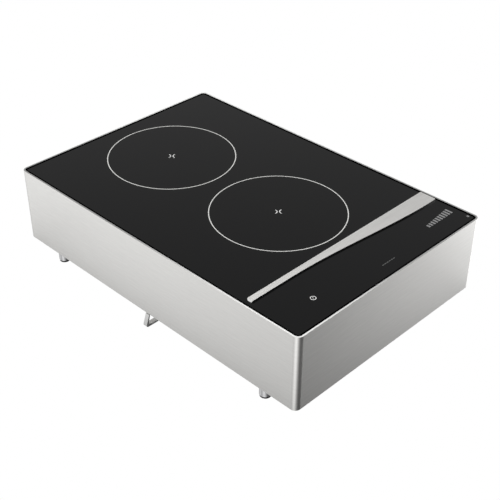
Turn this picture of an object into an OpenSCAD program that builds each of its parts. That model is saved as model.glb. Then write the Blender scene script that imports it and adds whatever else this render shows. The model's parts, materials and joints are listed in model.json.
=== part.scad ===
// Two-zone electric induction cooktop. The origin is under the middle of the
// casing on the surface that the feet stand on, the front faces -Y, +Z is up.

/* [Casing] */
// Width of the casing, left to right
body_w = 344; // [310:1:420]
// Depth of the casing, front to back
body_d = 516; // [500:1:640]
// Height of the casing without its feet
body_h = 108.5; // [92:0.5:140]
// Thickness of the casing sheet
wall = 1.2; // [0.8:0.1:1.6]
// Outside radius of the upright corners
corner_r = 8; // [6:0.5:14]
// Width of the folded rim around the glass
rim_w = 2.2; // [1.8:0.1:3]
// Width of the lip turned in under the base
lip_w = 32; // [28:1:40]

/* [Glass] */
// Thickness of the glass plate
glass_t = 4; // [3:0.5:6]
// Depth of the glass surface below the rim
glass_drop = 0.6; // [0.2:0.1:1.5]
// Width of the seal between the rim and the glass
seal_w = 2.4; // [1.5:0.1:4]
// Thickness of the seal under the glass
seal_t = 2; // [1:0.5:3]
// Depth of the seal's top below the glass surface
seal_drop = 0.3; // [0.2:0.1:2]
// Width of the seal's raised lip against the rim
seal_lip = 1; // [0.6:0.1:1.4]
// Width of the bevel around the glass
bevel_w = 0.6; // [0.4:0.1:3]
// Height of the bevel around the glass
bevel_h = 0.4; // [0.3:0.1:1.5]
// Width of the angle frame's shelf under the glass
shelf_w = 12; // [9:1:16]
// Height of the angle frame's upright leg
shelf_leg = 12; // [8:1:16]

/* [Trim strip] */
// Distance from the casing front to the strip's rear edge
trim_from_front = 89.6; // [80:0.1:110]
// Width of the strip at its narrow left end
trim_narrow = 8.3; // [6:0.1:14]
// Width of the strip at its wide right end
trim_wide = 24.7; // [16:0.1:30]
// Height of the strip above the glass
trim_h = 2.2; // [1.5:0.1:3]
// Gap between the glass edge and the strip's left end
trim_gap_left = 6; // [2:0.5:12]
// Gap between the glass edge and the strip's right end
trim_gap_right = 1.4; // [1.3:0.1:8]
// Width of the slope at the strip's left end
trim_slope_w = 1.3; // [0.5:0.1:3]
// Radius of the strip's rounded corners
trim_r = 2.5; // [1:0.5:4]

/* [Cooking zones] */
// Diameter of a cooking zone's winding
coil_dia = 172; // [145:1:190]
// Distance between the two zone centres
zone_pitch = 206; // [200:1:230]
// Distance from the casing back to the rear zone's centre
zone_from_back = 118; // [110:1:130]
// Thickness of the winding
winding_t = 5; // [3:0.5:7]
// Thickness of the coil former's disc
former_t = 3; // [2:0.5:4]
// Radius of the opening in the middle of the winding
coil_eye_r = 22; // [16:1:30]
// Number of turns shown by the winding's grooves
coil_turns = 14; // [8:1:20]
// Section of a ferrite bar
ferrite_w = 9; // [6:0.5:12]
// Length of a ferrite bar
ferrite_l = 50; // [35:1:55]
// Number of ferrite bars under a coil
ferrite_count = 8; // [6:1:8]
// Thickness of the ferrite bars
ferrite_t = 4; // [3:0.5:6]
// Thickness of the mica sheet
mica_t = 0.5; // [0.3:0.1:1]
// Height of the lift springs
lift_h = 14; // [10:1:18]
// Thickness of the coil plate
plate_t = 1.2; // [1:0.1:2]

/* [Feet] */
// Height of the feet, pads included
foot_h = 20; // [16:1:30]
// Diameter of a foot
foot_dia = 15.6; // [12:0.1:18]
// Distance from the casing side to a foot's centre
foot_from_side = 13.2; // [10:0.1:18]
// Distance from the casing front or back to a foot's centre
foot_from_end = 60; // [30:1:80]
// Thickness of the rubber pad under a foot
pad_t = 2; // [1:0.5:3]

/* [Brackets] */
// Distance from the casing side to a bracket's pivot
pivot_from_side = 22; // [18:0.5:24]
// Reach of a bracket past the casing side
bracket_reach = 6; // [2:0.5:8]
// Width of the bracket bar
bracket_w = 6.5; // [5:0.5:10]
// Thickness of the bracket bar
bracket_t = 3; // [2:0.5:5]
// Height of the bracket's underside above the floor
bracket_floor = 1.5; // [1:0.1:3]
// Diameter of the pivot sleeve
sleeve_dia = 8; // [7:0.5:10]

/* [Fan] */
// Side of the square fan frame
fan_size = 80; // [70:1:92]
// Thickness of the fan frame
fan_t = 25; // [20:1:32]
// Number of fan blades
fan_blades = 7; // [5:1:11]
// Diameter of the fan shaft
shaft_dia = 4; // [3:0.5:5]

/* [Base] */
// Thickness of the base pan
pan_t = 1.2; // [0.8:0.1:2]
// Height of the base pan's turned-up edge
pan_edge = 12; // [8:1:20]
// Width of an air slot
slot_w = 3.2; // [2:0.1:3.8]
// Height of the boards above the base pan
board_lift = 10; // [8:1:14]
// Thickness of the circuit boards
board_t = 1.6; // [1.2:0.1:2]
// Diameter of the mains cable that the gland is made for
cable_dia = 9; // [7:0.5:12]

/* [Clearances] */
// Gap around screws in their holes
screw_gap = 0.2; // [0.1:0.05:0.4]
// Running gap between the pivot sleeve and its bracket, on the radius
pivot_gap = 0.05; // [0.02:0.01:0.1]
// Running gap between the fan shaft and its bush, on the radius
shaft_gap = 0.04; // [0.02:0.01:0.1]
// Gap between the casing underside and a turning bracket
swing_gap = 0.4; // [0.3:0.1:1]
// Gap between the blade tips and the fan frame
tip_gap = 1.5; // [1:0.1:3]

/* [Hidden] */
$fn = 48;
eps = 0.01;

// Levels
z_top = foot_h + body_h;
z_pan = foot_h + wall;
z_floor = z_pan + pan_t;
z_glass = z_top - glass_drop;
z_glass_under = z_glass - glass_t;
z_shelf = z_glass_under - seal_t;
z_mica = z_glass_under - mica_t;
z_winding = z_mica - winding_t;
z_former = z_winding - former_t;
z_plate_top = z_former - lift_h;
z_plate = z_plate_top - plate_t;
z_board = z_floor + board_lift;
z_board_top = z_board + board_t;
z_control = z_glass_under - 8;
z_carrier = z_control - board_t - 4;

// Outlines
inner_w = body_w - 2 * wall;
inner_d = body_d - 2 * wall;
inner_r = corner_r - wall;
rim_inner_w = body_w - 2 * rim_w;
rim_inner_d = body_d - 2 * rim_w;
rim_inner_r = corner_r - rim_w;
glass_w = rim_inner_w - 2 * seal_w;
glass_d = rim_inner_d - 2 * seal_w;
glass_r = rim_inner_r - seal_w;

// Places
zone_rear_y = body_d / 2 - zone_from_back;
zone_front_y = zone_rear_y - zone_pitch;
foot_x = body_w / 2 - foot_from_side;
foot_y = body_d / 2 - foot_from_end;
pivot_x = body_w / 2 - pivot_from_side;
screw_r = 2;
head_r = 3.6;
head_h = 1.6;
screw_from_side = 104;
stud_r = 2.5;
nut_r = 4.5;
panel_y = -body_d / 2 + 44;
fan_x = -inner_w / 2 + fan_size / 2 + 30;
fan_y = inner_d / 2 - fan_size / 2 - 45;
fan_z = z_floor + 3;
power_w = 140;
power_d = 190;
power_x = -inner_w / 2 + power_w / 2 + 20;
power_y = fan_y - fan_size / 2 - power_d / 2 - 14;
filter_w = 96;
filter_d = 96;
filter_x = inner_w / 2 - filter_w / 2 - 20;
filter_y = inner_d / 2 - filter_d / 2 - 84;
gland_x = inner_w / 2 - 62;
gland_y = inner_d / 2 - 48;
control_w = 250;
control_d = 52;
post_x = inner_w / 2 - 9;
posts = [for (x = [-1, 1], y = [-0.46, 0, 0.46]) [x * post_x, y * inner_d]];
lead_r = 1.6;
sink_w = 62;
sink_d = 150;
sink_h = 42;
sink_x = power_x - 30;
sink_y = power_y;
clamp_x = power_x + 28.8;
former_hole_at = coil_eye_r + 30;
ferrite_inset = 10;
lip_drop = 0.1;
wave_start = 0.21;
wave_length = 0.77;
slope_foot = 0.3;

// Shared shapes
module rounded_plate(w, d, r, h) {
    linear_extrude(h) {
        square([w - 2 * r, d], center = true);
        square([w, d - 2 * r], center = true);
        for (x = [-1, 1], y = [-1, 1])
            translate([x * (w / 2 - r), y * (d / 2 - r)]) circle(r);
    }
}

module box(x, y, z, w, d, h) {
    translate([x - w / 2, y - d / 2, z]) cube([w, d, h]);
}

module rod(x, y, z, r, h) {
    translate([x, y, z]) cylinder(r = r, h = h);
}

// A slot with round ends, w long along X, cut through a sheet
module slot(x, y, z, w, h) {
    translate([x, y, z]) linear_extrude(h) {
        square([w - slot_w, slot_w], center = true);
        for (side = [-1, 1]) translate([side * (w - slot_w) / 2, 0]) circle(slot_w / 2, $fn = 24);
    }
}

function unit(v) = v / norm(v);
function middle(a, b, t) = a + (b - a) * t;
// Cuts every corner of a route, so that the lead bends instead of folding
function softened(p, times) = times == 0 ? p : softened(
    [for (i = [0:len(p) - 1])
        each i == 0 || i == len(p) - 1 ? [p[i]]
            : [middle(p[i], p[i - 1], 0.25), middle(p[i], p[i + 1], 0.25)]], times - 1);
function direction(p, i) = unit(p[min(i + 1, len(p) - 1)] - p[max(i - 1, 0)]);
// Side vectors carried along the route without twisting
function carried(p, i, side) = let (d = direction(p, i)) unit(side - d * (side * d));
function sides_along(p, i, side) = i >= len(p) ? []
    : let (s = carried(p, i, side)) concat([s], sides_along(p, i + 1, s));

module tube_along(p, r, count, side) {
    s = sides_along(p, 0, side);
    points = [for (i = [0:len(p) - 1]) let (d = direction(p, i), c = cross(d, s[i]))
        for (k = [0:count - 1]) p[i] + r * (cos(360 * k / count) * s[i] + sin(360 * k / count) * c)];
    last = (len(p) - 1) * count;
    faces = concat([[for (k = [0:count - 1]) k]],
        [[for (k = [count - 1:-1:0]) last + k]],
        [for (i = [0:len(p) - 2], k = [0:count - 1])
            [i * count + k, (i + 1) * count + k,
             (i + 1) * count + (k + 1) % count, i * count + (k + 1) % count]]);
    polyhedron(points, faces);
}

// An upright compression spring with a closed turn at each end
module coil_spring(x, y, z, r, h, turns, wire) {
    steps = 12;
    count = turns * steps;
    climb = h - 2 * wire;
    route = [for (i = [0:count]) let (a = 360 * i / steps, t = i / count)
        [r * cos(a), r * sin(a), wire + climb * (3 * t * t - 2 * t * t * t)]];
    translate([x, y, z]) tube_along(route, wire, 6, [1, 0, 0]);
}

// Casing, base and feet
module casing() {
    color([0.78, 0.78, 0.77]) difference() {
        translate([0, 0, foot_h]) rounded_plate(body_w, body_d, corner_r, body_h);
        translate([0, 0, z_pan]) rounded_plate(inner_w, inner_d, inner_r, z_shelf - z_pan);
        translate([0, 0, z_shelf - eps])
            rounded_plate(rim_inner_w, rim_inner_d, rim_inner_r, z_top - z_shelf + 1);
        translate([0, 0, foot_h - 1])
            rounded_plate(body_w - 2 * lip_w, body_d - 2 * lip_w, corner_r, wall + 1 + eps);
        for (p = screw_places()) rod(p[0], p[1], foot_h - 1, screw_r + screw_gap, wall + 2);
        for (p = foot_places()) rod(p[0], p[1], foot_h - 1, stud_r + screw_gap, wall + 2);
        for (side = [-1, 1]) rod(side * pivot_x, 0, foot_h - 1, stud_r + screw_gap, wall + 2);
        for (p = posts) rod(p[0], p[1], foot_h - 1, screw_r + screw_gap, wall + 2);
        for (x = [-6:6], row = [0:2]) translate([x * 18, body_d / 2 + 1, foot_h + 30 + row * 14])
            rotate([90, 0, 0]) slot(0, 0, 0, 13, wall + 2);
    }
}

function screw_places() = concat(
    [for (x = [-1, 1], y = [-1, 1]) [x * (body_w / 2 - screw_from_side), y * (body_d / 2 - lip_w / 2)]],
    [for (x = [-1, 1], y = [-1, 1]) [x * (body_w / 2 - lip_w / 2), y * (foot_y - 95)]]);
function foot_places() = [for (x = [-1, 1], y = [-1, 1]) [x * foot_x, y * foot_y]];

module base_pan() {
    color([0.62, 0.63, 0.64]) difference() {
        translate([0, 0, z_pan]) rounded_plate(inner_w, inner_d, inner_r, pan_t + pan_edge);
        translate([0, 0, z_floor])
            rounded_plate(inner_w - 2 * pan_t, inner_d - 2 * pan_t, inner_r - pan_t, pan_edge + 1);
        for (p = screw_places()) rod(p[0], p[1], z_pan - 1, screw_r + screw_gap, pan_t + 2);
        for (p = foot_places()) rod(p[0], p[1], z_pan - 1, stud_r + screw_gap, pan_t + 2);
        for (side = [-1, 1]) rod(side * pivot_x, 0, z_pan - 1, stud_r + screw_gap, pan_t + 2);
        rod(gland_x, gland_y, z_pan - 1, cable_dia / 2 + 3.5, pan_t + 2);
        for (i = [-4:4]) let (y = i * 8, w = 2 * sqrt(pow(fan_size / 2 - 4, 2) - y * y))
            slot(fan_x, fan_y + y, z_pan - 1, w, pan_t + 2);
        for (x = [-3:3], y = [0:2]) slot(x * 30, panel_y + 6 + y * 9, z_pan - 1, 22, pan_t + 2);
        for (p = posts) rod(p[0], p[1], z_pan - 1, screw_r + screw_gap, pan_t + 2);
    }
}

module casing_screws() {
    color([0.75, 0.75, 0.76]) for (p = screw_places()) difference() {
        union() {
            rod(p[0], p[1], foot_h - head_h, head_r, head_h);
            rod(p[0], p[1], foot_h - eps, screw_r, 8);
        }
        box(p[0], p[1], foot_h - 2, 4.6, 0.9, 1.2);
        box(p[0], p[1], foot_h - 2, 0.9, 4.6, 1.2);
    }
}

module foot(x, y) {
    r = foot_dia / 2;
    c = 0.8;
    color([0.84, 0.84, 0.85]) translate([x * foot_x, y * foot_y, 0]) difference() {
        rotate_extrude() polygon([[0, pad_t], [r - c, pad_t], [r, pad_t + c],
            [r, foot_h], [0, foot_h]]);
        rod(0, 0, foot_h - 12, stud_r + screw_gap, 13);
        rod(0, 0, pad_t - 1, 3.1, 3.1);
    }
}

module pad(x, y) {
    color([0.08, 0.08, 0.08]) translate([x * foot_x, y * foot_y, 0]) {
        cylinder(r = foot_dia / 2 - 0.6, h = pad_t);
        cylinder(r = 3, h = pad_t + 2);
    }
}

module foot_screws() {
    color([0.75, 0.75, 0.76]) for (p = foot_places()) {
        rod(p[0], p[1], foot_h - 11, stud_r, z_floor - foot_h + 11 + eps);
        translate([p[0], p[1], z_floor]) cylinder(r = nut_r, h = 3, $fn = 6);
    }
}

// Glass and what holds it
module glass_frame() {
    color([0.65, 0.66, 0.67]) translate([0, 0, z_shelf - shelf_leg]) difference() {
        rounded_plate(inner_w, inner_d, inner_r, shelf_leg);
        translate([0, 0, -1])
            rounded_plate(inner_w - 2 * wall, inner_d - 2 * wall, inner_r - wall, shelf_leg + 1 - wall);
        translate([0, 0, -1]) rounded_plate(inner_w - 2 * shelf_w, inner_d - 2 * shelf_w, 3, shelf_leg + 2);
    }
}

module glass_seal() {
    color([0.05, 0.05, 0.05]) difference() {
        translate([0, 0, z_shelf])
            rounded_plate(rim_inner_w, rim_inner_d, rim_inner_r, z_top - lip_drop - z_shelf);
        translate([0, 0, z_glass - seal_drop])
            rounded_plate(rim_inner_w - 2 * seal_lip, rim_inner_d - 2 * seal_lip,
                rim_inner_r - seal_lip, glass_t);
        translate([0, 0, z_glass_under]) rounded_plate(glass_w, glass_d, glass_r, glass_t);
        translate([0, 0, z_shelf - 1])
            rounded_plate(glass_w - 12, glass_d - 12, glass_r, seal_t + 2);
    }
}

module glass_top() {
    low = glass_t - bevel_h;
    color([0.04, 0.04, 0.045]) translate([0, 0, z_glass_under]) {
        rounded_plate(glass_w, glass_d, glass_r, low);
        hull($fn = 32) {
            translate([0, 0, low]) rounded_plate(glass_w, glass_d, glass_r, eps);
            translate([0, 0, glass_t - eps]) rounded_plate(glass_w - 2 * bevel_w,
                glass_d - 2 * bevel_w, max(glass_r - bevel_w, 1), eps);
        }
    }
}

// The strip's front edge swells in one smooth wave from its narrow to its wide end
function wave(t) = t < 0 ? 0 : t > 1 ? 1 : t * t * (3 - 2 * t);
function arc(cx, cy, r, a0, a1) =
    [for (i = [0:6]) let (a = a0 + (a1 - a0) * i / 6) [cx + r * cos(a), cy + r * sin(a)]];

module trim_strip() {
    left = -glass_w / 2 + trim_gap_left;
    right = glass_w / 2 - trim_gap_right;
    rear = -body_d / 2 + trim_from_front;
    steps = 28;
    front = [for (i = [0:steps]) let (t = i / steps)
        [left + 1 + (right - trim_r - left - 1) * t,
         rear - trim_narrow - (trim_wide - trim_narrow) * wave((t - wave_start) / wave_length)]];
    outline = concat(arc(left + trim_r, rear - trim_r, trim_r, 90, 180),
        [[left, rear - trim_narrow + 1]], front,
        arc(right - trim_r, rear - trim_wide + trim_r, trim_r, -90, 0),
        [[right, rear]]);
    color([0.8, 0.8, 0.79]) translate([0, 0, z_glass]) difference() {
        linear_extrude(trim_h) polygon(outline);
        translate([left, rear + 1, 0]) rotate([90, 0, 0]) linear_extrude(trim_wide + 2)
            polygon([[-1, slope_foot], [0, slope_foot], [trim_slope_w, trim_h],
                [trim_slope_w, trim_h + 1], [-1, trim_h + 1]]);
    }
}

// Swivel brackets under the long sides
module bracket(side) {
    top = foot_h - swing_gap;
    tip = pivot_from_side + bracket_reach;
    low = bracket_floor;
    lean = bracket_reach - 1;
    r = 3;
    hub_r = sleeve_dia / 2 + 3;
    bar = concat([[0, low]], [for (i = [0:6]) let (a = -90 + 15 * i)
            [tip - r + r * cos(a), low + r + r * sin(a)]],
        [[tip - lean, top], [tip - lean - bracket_t * 0.7, top],
         [tip - bracket_t - 0.6, low + bracket_t + 3], [tip - bracket_t - 3, low + bracket_t],
         [0, low + bracket_t]]);
    color([0.82, 0.82, 0.83]) translate([side * pivot_x, 0, 0]) mirror([side < 0 ? 1 : 0, 0, 0])
        difference() {
            union() {
                translate([0, bracket_w / 2, 0]) rotate([90, 0, 0]) linear_extrude(bracket_w) polygon(bar);
                cylinder(r = hub_r, h = top - low);
            }
            rod(0, 0, -1, sleeve_dia / 2 + pivot_gap, foot_h);
            translate([0, 0, -1]) cylinder(r = hub_r + 4, h = low + 1);
        }
}

module bracket_sleeves() {
    color([0.7, 0.62, 0.35]) for (side = [-1, 1]) translate([side * pivot_x, 0, 0]) difference() {
        rod(0, 0, bracket_floor + 0.4, sleeve_dia / 2, foot_h - bracket_floor - 0.4);
        rod(0, 0, 0, stud_r + screw_gap, foot_h + 1);
        rod(0, 0, 0, 3.4, bracket_floor + 3);
    }
}

module bracket_screws() {
    color([0.75, 0.75, 0.76]) for (side = [-1, 1]) translate([side * pivot_x, 0, 0]) difference() {
        union() {
            rod(0, 0, bracket_floor + 0.6, 3.2, 2.4);
            rod(0, 0, bracket_floor + 1, stud_r, z_floor + 5 - bracket_floor - 1);
            translate([0, 0, z_floor]) cylinder(r = nut_r, h = 3, $fn = 6);
        }
        translate([0, 0, bracket_floor]) cylinder(r = 1.6, h = 2, $fn = 6);
    }
}

// Coil plate and coils
module coil_plate() {
    w = inner_w - 2 * wall - 2;
    d = inner_d - 2 * wall - 2;
    color([0.8, 0.81, 0.82]) difference() {
        translate([0, 0, z_plate]) rounded_plate(w, d, 6, plate_t);
        for (p = posts) rod(p[0], p[1], z_plate - 1, screw_r + screw_gap, plate_t + 2);
        for (y = [zone_rear_y, zone_front_y]) rod(lead_x(), lead_y(y), z_plate - 1, 8, plate_t + 2);
        box(ribbon_x, ribbon_y, z_plate - 1, 22, 6, plate_t + 2);
    }
}
function lead_x() = -former_hole_at;
function lead_y(y) = y - 20;
ribbon_x = power_x + 15;
ribbon_y = -body_d / 2 + 78;

module plate_posts() {
    color([0.7, 0.62, 0.35]) for (p = posts) difference() {
        translate([p[0], p[1], z_floor]) cylinder(r = 4, h = z_plate - z_floor, $fn = 6);
        rod(p[0], p[1], z_floor - 1, screw_r + screw_gap, 11);
        rod(p[0], p[1], z_plate - 10, screw_r + screw_gap, 11);
    }
}

module plate_screws() {
    color([0.75, 0.75, 0.76]) for (p = posts) {
        rod(p[0], p[1], z_plate_top, head_r, 2);
        rod(p[0], p[1], z_plate - 8, screw_r, plate_t + 8 + eps);
        rod(p[0], p[1], foot_h - head_h, head_r, head_h);
        rod(p[0], p[1], foot_h - eps, screw_r, wall + pan_t + 8);
    }
}

module former(y) {
    r = coil_dia / 2 + 3;
    color([0.16, 0.16, 0.17]) translate([0, y, z_former]) difference() {
        cylinder(r = r, h = former_t, $fn = 96);
        rod(0, 0, -1, 6, former_t + 2);
        for (a = [0:45:315]) rotate(a + 22.5) translate([former_hole_at, 0, -1])
            cylinder(r = 9, h = former_t + 2);
    }
}

module winding(y) {
    r = coil_dia / 2;
    pitch = (r - coil_eye_r) / coil_turns;
    color([0.75, 0.42, 0.24]) translate([0, y, z_winding]) rotate_extrude($fn = 96)
        polygon(concat([[coil_eye_r, 0]],
            [for (i = [0:coil_turns - 1]) each [
                [coil_eye_r + pitch * i, winding_t - 0.9],
                [coil_eye_r + pitch * (i + 0.25), winding_t],
                [coil_eye_r + pitch * (i + 0.75), winding_t]]],
            [[r, winding_t - 0.9], [r, 0]]));
}

module ferrites(y) {
    color([0.2, 0.2, 0.22]) for (i = [0:ferrite_count - 1]) translate([0, y, z_former - ferrite_t])
        rotate(360 * i / ferrite_count)
            translate([coil_dia / 2 - ferrite_inset - ferrite_l, -ferrite_w / 2, 0])
                cube([ferrite_l, ferrite_w, ferrite_t]);
}

module mica(y) {
    color([0.72, 0.62, 0.42]) translate([0, y, z_mica]) difference() {
        cylinder(r = coil_dia / 2 + 2, h = mica_t, $fn = 96);
        rod(0, 0, -1, 10, mica_t + 2);
    }
}

module sensor(y) {
    color([0.9, 0.9, 0.88]) translate([0, y, 0]) {
        rod(0, 0, z_former - 8, 5.6, z_glass_under - z_former + 8);
        rod(0, 0, z_former - 9, 7.5, 2);
    }
}

module lift_springs(y) {
    color([0.75, 0.75, 0.76]) for (i = [0:2]) let (a = 120 * i + 22.5)
        coil_spring((coil_dia / 2 - 4) * cos(a), y + (coil_dia / 2 - 4) * sin(a),
            z_plate_top, 4.2, lift_h, 4, 0.5);
}

// Control area
module control_carrier() {
    color([0.14, 0.14, 0.15]) difference() {
        union() {
            box(0, panel_y, z_carrier, control_w + 8, control_d + 8, z_control - z_carrier);
            for (x = [-1, 1], y = [-1, 1])
                rod(x * (control_w / 2 - 8), panel_y + y * (control_d / 2 - 4),
                    z_plate_top, 5, z_carrier - z_plate_top + 1);
        }
        box(0, panel_y, z_carrier + 2, control_w, control_d, z_control);
        box(ribbon_x, ribbon_y - 11, z_carrier - 1, 22, 8, 4);
    }
}

module control_board() {
    color([0.06, 0.3, 0.16])
        box(0, panel_y, z_carrier + 2, control_w - 1, control_d - 1, board_t);
}

touch_x = [-105, -60, 40, 62, 84];
module touch_springs() {
    h = z_glass_under - (z_carrier + 2 + board_t);
    color([0.78, 0.7, 0.4]) for (x = touch_x)
        coil_spring(x, -body_d / 2 + 38, z_carrier + 2 + board_t, 3.6, h, 4, 0.35);
}

module displays() {
    z = z_carrier + 2 + board_t;
    color([0.12, 0.05, 0.05]) for (x = [-20, 12])
        box(x, panel_y - 4, z, 20, 12, z_glass_under - z - 1);
}

module control_ribbon() {
    w = 16;
    t = 0.8;
    low = z_board_top + 8;
    y = ribbon_y;
    top = z_carrier - 3;
    color([0.75, 0.76, 0.78]) {
        box(ribbon_x, y, low, w, t, top - low);
        box(ribbon_x, y - 5.6, top - t, w, 12, t);
        box(ribbon_x, y - 11.2, top - t, w, t, z_carrier + 2 - top + t);
        box(ribbon_x, (y + ribbon_end) / 2, low, w, ribbon_end - y, t);
        box(ribbon_x, ribbon_end, z_board_top, w, 5, 10);
    }
}
ribbon_end = power_y - power_d / 2 + 5;

// Power electronics
board_corners = [for (x = [-1, 1], y = [-1, 1])
    each [[power_x + x * (power_w / 2 - 5), power_y + y * (power_d / 2 - 5)],
          [filter_x + x * (filter_w / 2 - 5), filter_y + y * (filter_d / 2 - 5)]]];

module board_posts() {
    color([0.85, 0.85, 0.82]) for (p = board_corners) difference() {
        rod(p[0], p[1], z_floor, 3.5, board_lift);
        rod(p[0], p[1], z_board - 7, 1.5 + screw_gap, 8);
    }
}

module board_screws() {
    color([0.75, 0.75, 0.76]) for (p = board_corners) {
        rod(p[0], p[1], z_board_top, 2.8, 1.8);
        rod(p[0], p[1], z_board - 6, 1.5, board_t + 6 + eps);
    }
}

module board(x, y, w, d) {
    color([0.1, 0.32, 0.14]) difference() {
        box(x, y, z_board, w, d, board_t);
        for (p = board_corners) rod(p[0], p[1], z_board - 1, 1.5 + screw_gap, board_t + 2);
    }
}

module heat_sink() {
    base = 5;
    fins = 9;
    pitch = (sink_w - 2) / (fins - 1);
    color([0.78, 0.79, 0.8]) {
        box(sink_x, sink_y, z_board_top, sink_w, sink_d, base);
        for (i = [0:fins - 1])
            box(sink_x - sink_w / 2 + 1 + i * pitch, sink_y, z_board_top + base - eps, 2, sink_d, sink_h - base);
    }
}

module power_transistors() {
    x = sink_x + sink_w / 2;
    color([0.1, 0.1, 0.11]) for (i = [0:3]) let (y = sink_y - 30 + 26 * i) {
        box(x + 2.5, y, z_board_top + 6, 5, 16, 20);
        for (p = [-5.4, 0, 5.4]) box(x + 3, y + p, z_board_top, 0.8, 1.4, 6 + eps);
    }
}

module bridge_rectifier() {
    x = sink_x + sink_w / 2;
    y = sink_y - 62;
    color([0.1, 0.1, 0.11]) {
        box(x + 3, y, z_board_top + 6, 6, 30, 20);
        for (p = [-11, -4, 4, 11]) box(x + 3, y + p, z_board_top, 0.8, 1.4, 6 + eps);
    }
}

module power_capacitors() {
    x = power_x + power_w / 2 - 22;
    color([0.85, 0.68, 0.2]) {
        for (i = [0:2]) box(x, power_y - 46 + i * 34, z_board_top, 26, 28, 32);
        rod(x, power_y + 58, z_board_top, 12, 38);
    }
}

module power_choke() {
    x = power_x + power_w / 2 - 22;
    color([0.7, 0.4, 0.22]) translate([x, power_y - 78, z_board_top + 7])
        rotate_extrude() translate([9, 0]) circle(6.9, $fn = 32);
}

module relays() {
    color([0.15, 0.25, 0.5]) for (i = [0:1])
        box(power_x - 45 + i * 26, power_y - power_d / 2 + 9, z_board_top, 20, 12, 16);
}

module filter_choke() {
    color([0.7, 0.4, 0.22]) translate([filter_x - 14, filter_y - 18, z_board_top + 9.5])
        rotate_extrude() translate([13, 0]) circle(9.4, $fn = 32);
}

module filter_capacitors() {
    color([0.85, 0.68, 0.2]) for (i = [0:1])
        box(filter_x - 20 + i * 34, filter_y + 26, z_board_top, 26, 14, 20);
    color([0.85, 0.68, 0.2]) box(filter_x + 30, filter_y - 14, z_board_top, 12, 26, 18);
}

// Fan and duct
module fan_frame() {
    bore_r = fan_size / 2 - 3;
    hub_r = 15;
    hole = fan_size / 2 - 5;
    color([0.1, 0.1, 0.1]) translate([fan_x, fan_y, fan_z]) difference() {
        union() {
            difference() {
                translate([0, 0, 0]) rounded_plate(fan_size, fan_size, 4, fan_t);
                rod(0, 0, -1, bore_r, fan_t + 2);
            }
            rod(0, 0, 0, hub_r, 3);
            rod(0, 0, 0, shaft_dia / 2 + 3, fan_t - 9);
            for (a = [45:90:315]) rotate(a) translate([hub_r - 1, -2, 0]) cube([bore_r - hub_r + 4, 4, 3]);
        }
        rod(0, 0, -1, shaft_dia / 2 + shaft_gap, fan_t + 2);
        for (x = [-1, 1], y = [-1, 1]) rod(x * hole, y * hole, -1, 2.2, fan_t + 2);
    }
}

module fan_impeller() {
    tip_r = fan_size / 2 - 3 - tip_gap;
    hub_r = 16;
    cup_z = 4.5;
    color([0.16, 0.16, 0.17]) translate([fan_x, fan_y, fan_z]) {
        difference() {
            rod(0, 0, cup_z, hub_r, fan_t - cup_z - 1.5);
            rod(0, 0, cup_z - 1, hub_r - 1.6, fan_t - cup_z - 2.5);
        }
        rod(0, 0, 1, shaft_dia / 2, fan_t - 4);
        for (i = [0:fan_blades - 1]) rotate(360 * i / fan_blades) translate([hub_r - 0.8, 0, fan_t / 2 + 1])
            rotate([38, 0, 0]) translate([0, -9, -0.8]) cube([tip_r - hub_r - 0.4, 18, 1.6]);
    }
}

module fan_screws() {
    hole = fan_size / 2 - 5;
    color([0.75, 0.75, 0.76]) translate([fan_x, fan_y, 0]) for (x = [-1, 1], y = [-1, 1]) {
        rod(x * hole, y * hole, z_floor, 3.4, 3);
        rod(x * hole, y * hole, fan_z - eps, 2, fan_t + 2);
        rod(x * hole, y * hole, fan_z + fan_t, 3.4, 2);
    }
}

module air_duct() {
    w = fan_size + 12;
    d = fan_size + 16;
    h = 50;
    t = 1.6;
    color([0.2, 0.2, 0.21]) difference() {
        box(fan_x, fan_y, z_floor, w, d, h);
        box(fan_x, fan_y, z_floor - 1, w - 2 * t, d - 2 * t, h + 1 - t);
        box(fan_x, fan_y - d / 2, z_floor - 1, w - 2 * t, 4 * t, h + 1 - t);
    }
}

// Mains side
block_x = inner_w / 2 - 50;
block_y = inner_d / 2 - 18;
module terminal_block() {
    color([0.88, 0.88, 0.85]) difference() {
        box(block_x, block_y, z_floor, 56, 22, 20);
        for (i = [-1:1]) {
            translate([block_x + i * 16, block_y, z_floor + 8]) rod(0, 0, 0, 3.2, 13);
            translate([block_x + i * 16, block_y - 12, z_floor + 12]) rotate([-90, 0, 0])
                cylinder(r = 2.6, h = 9);
        }
    }
}

module cable_gland() {
    r = cable_dia / 2;
    color([0.12, 0.12, 0.12]) translate([gland_x, gland_y, 0]) difference() {
        union() {
            rod(0, 0, z_pan - 4, r + 5.5, 4);
            rod(0, 0, z_pan - eps, r + 3.3, pan_t + 2 * eps);
            rod(0, 0, z_floor, r + 5.5, 6);
        }
        rod(0, 0, z_pan - 5, r, pan_t + 12);
    }
}

module mains_leads() {
    y0 = block_y - 11;
    y1 = filter_y + filter_d / 2 - 6;
    color([0.45, 0.3, 0.15]) for (i = [-1:1]) let (x = block_x + i * 16, end = filter_x + 10 + i * 7)
        tube_along(softened([[x, y0 + 3, z_floor + 12], [x, y0 - 7, z_floor + 12],
            [x, y0 - 12, z_floor + 34], [end, y1, z_floor + 34],
            [end, y1, z_board_top]], 2), lead_r, 8, [1, 0, 0]);
}

module coil_leads() {
    color([0.82, 0.3, 0.2]) for (y = [zone_rear_y, zone_front_y], i = [-1, 1])
        let (x = lead_x() + 3 * i, end_x = clamp_x + 3 * i)
            tube_along(softened([[x, lead_y(y), z_winding], [x, lead_y(y), z_plate - 12],
                [end_x, clamp_y(y), z_plate - 18], [end_x, clamp_y(y), z_board_top]], 2),
                lead_r, 8, [1, 0, 0]);
}
function clamp_y(y) = y > zone_front_y ? power_y + power_d / 2 - 8 : power_y + power_d / 2 - 18;

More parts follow.
